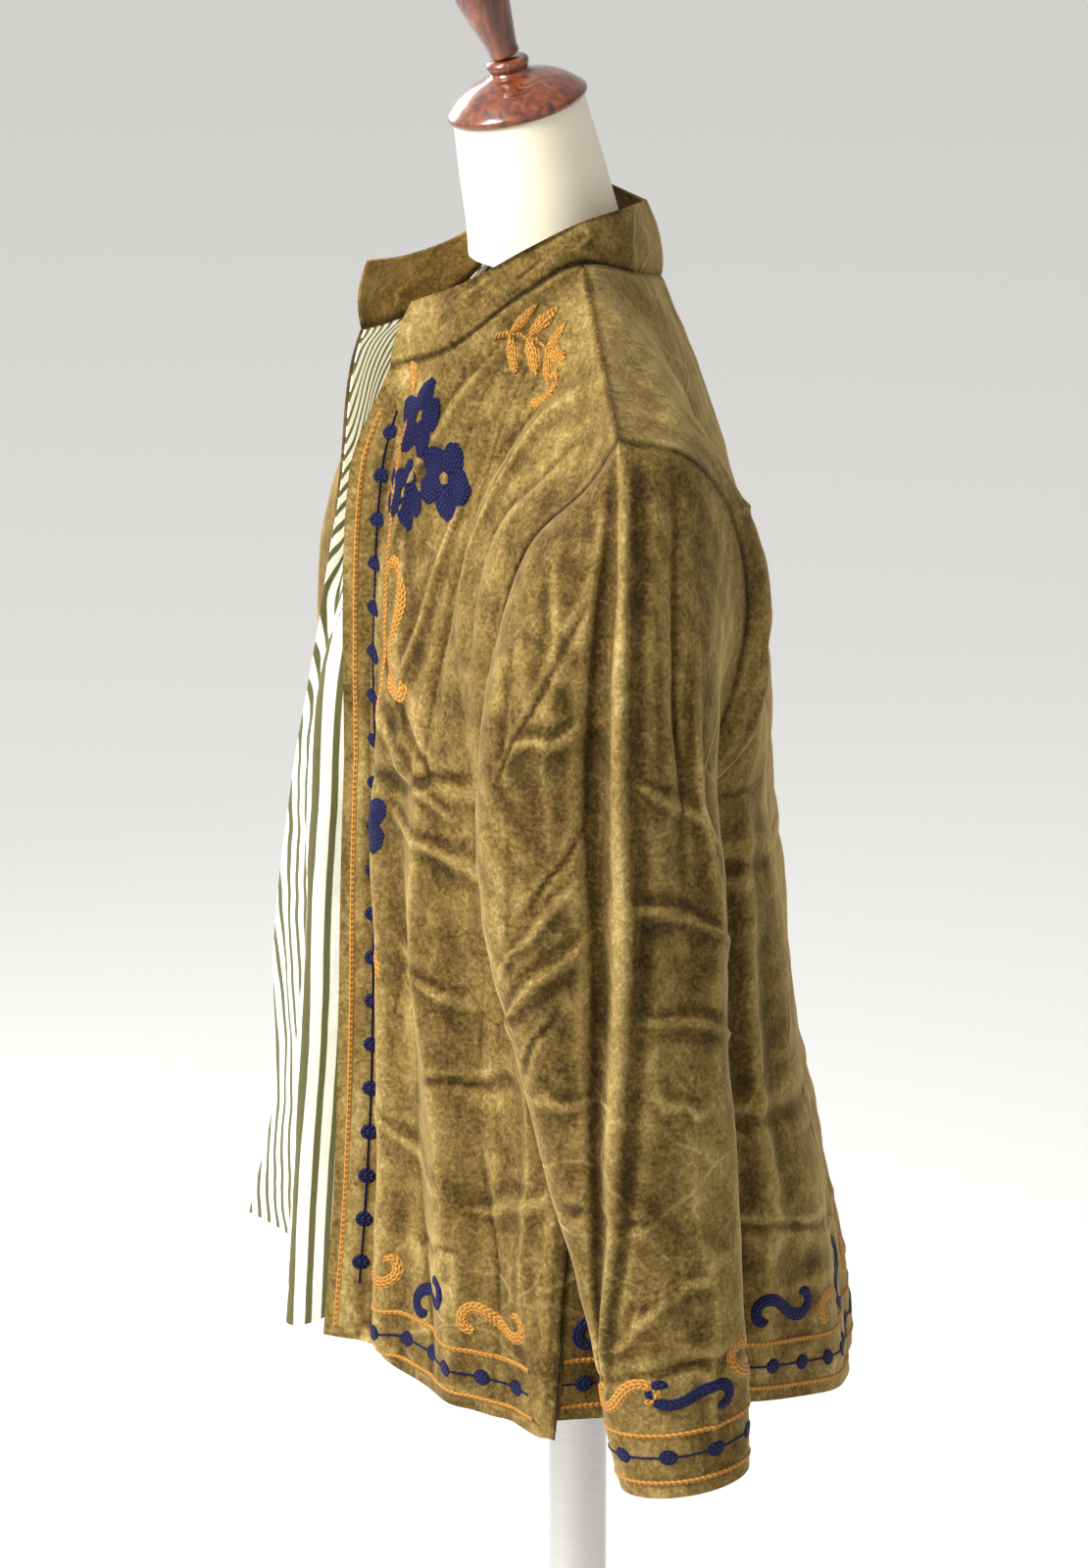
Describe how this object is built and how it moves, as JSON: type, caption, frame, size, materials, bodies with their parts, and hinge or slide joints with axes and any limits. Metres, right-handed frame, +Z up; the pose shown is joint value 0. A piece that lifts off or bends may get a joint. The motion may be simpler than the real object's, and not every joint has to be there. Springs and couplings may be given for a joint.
{
  "type": "jacket on a dress form",
  "caption": "Open velvet jacket with band collar, dropped sleeves, side vents and stitched borders, on a limbless dress form that stands on a round base.",
  "frame": {"origin": "centre of the round base's underside, on the floor", "axes": "+Z up, the jacket's front faces -Y, the wearer's left is +X"},
  "size_m": [0.6078, 0.3358, 1.6177],
  "materials": {
    "velvet": "crushed cotton velvet",
    "lining": "striped cotton",
    "form_cloth": "cream jersey",
    "wood": "glossy stain",
    "metal": "satin"
  },
  "bodies": {
    "root": {"front_left": "velvet", "front_right": "velvet", "lining_front_right": "lining", "back": "velvet", "sleeve_left": "velvet", "sleeve_right": "velvet", "collar": "velvet", "form_body": "form_cloth", "form_cap": "wood", "form_finial": "wood", "form_pole": "metal", "form_base": "metal"}
  },
  "joints": []
}
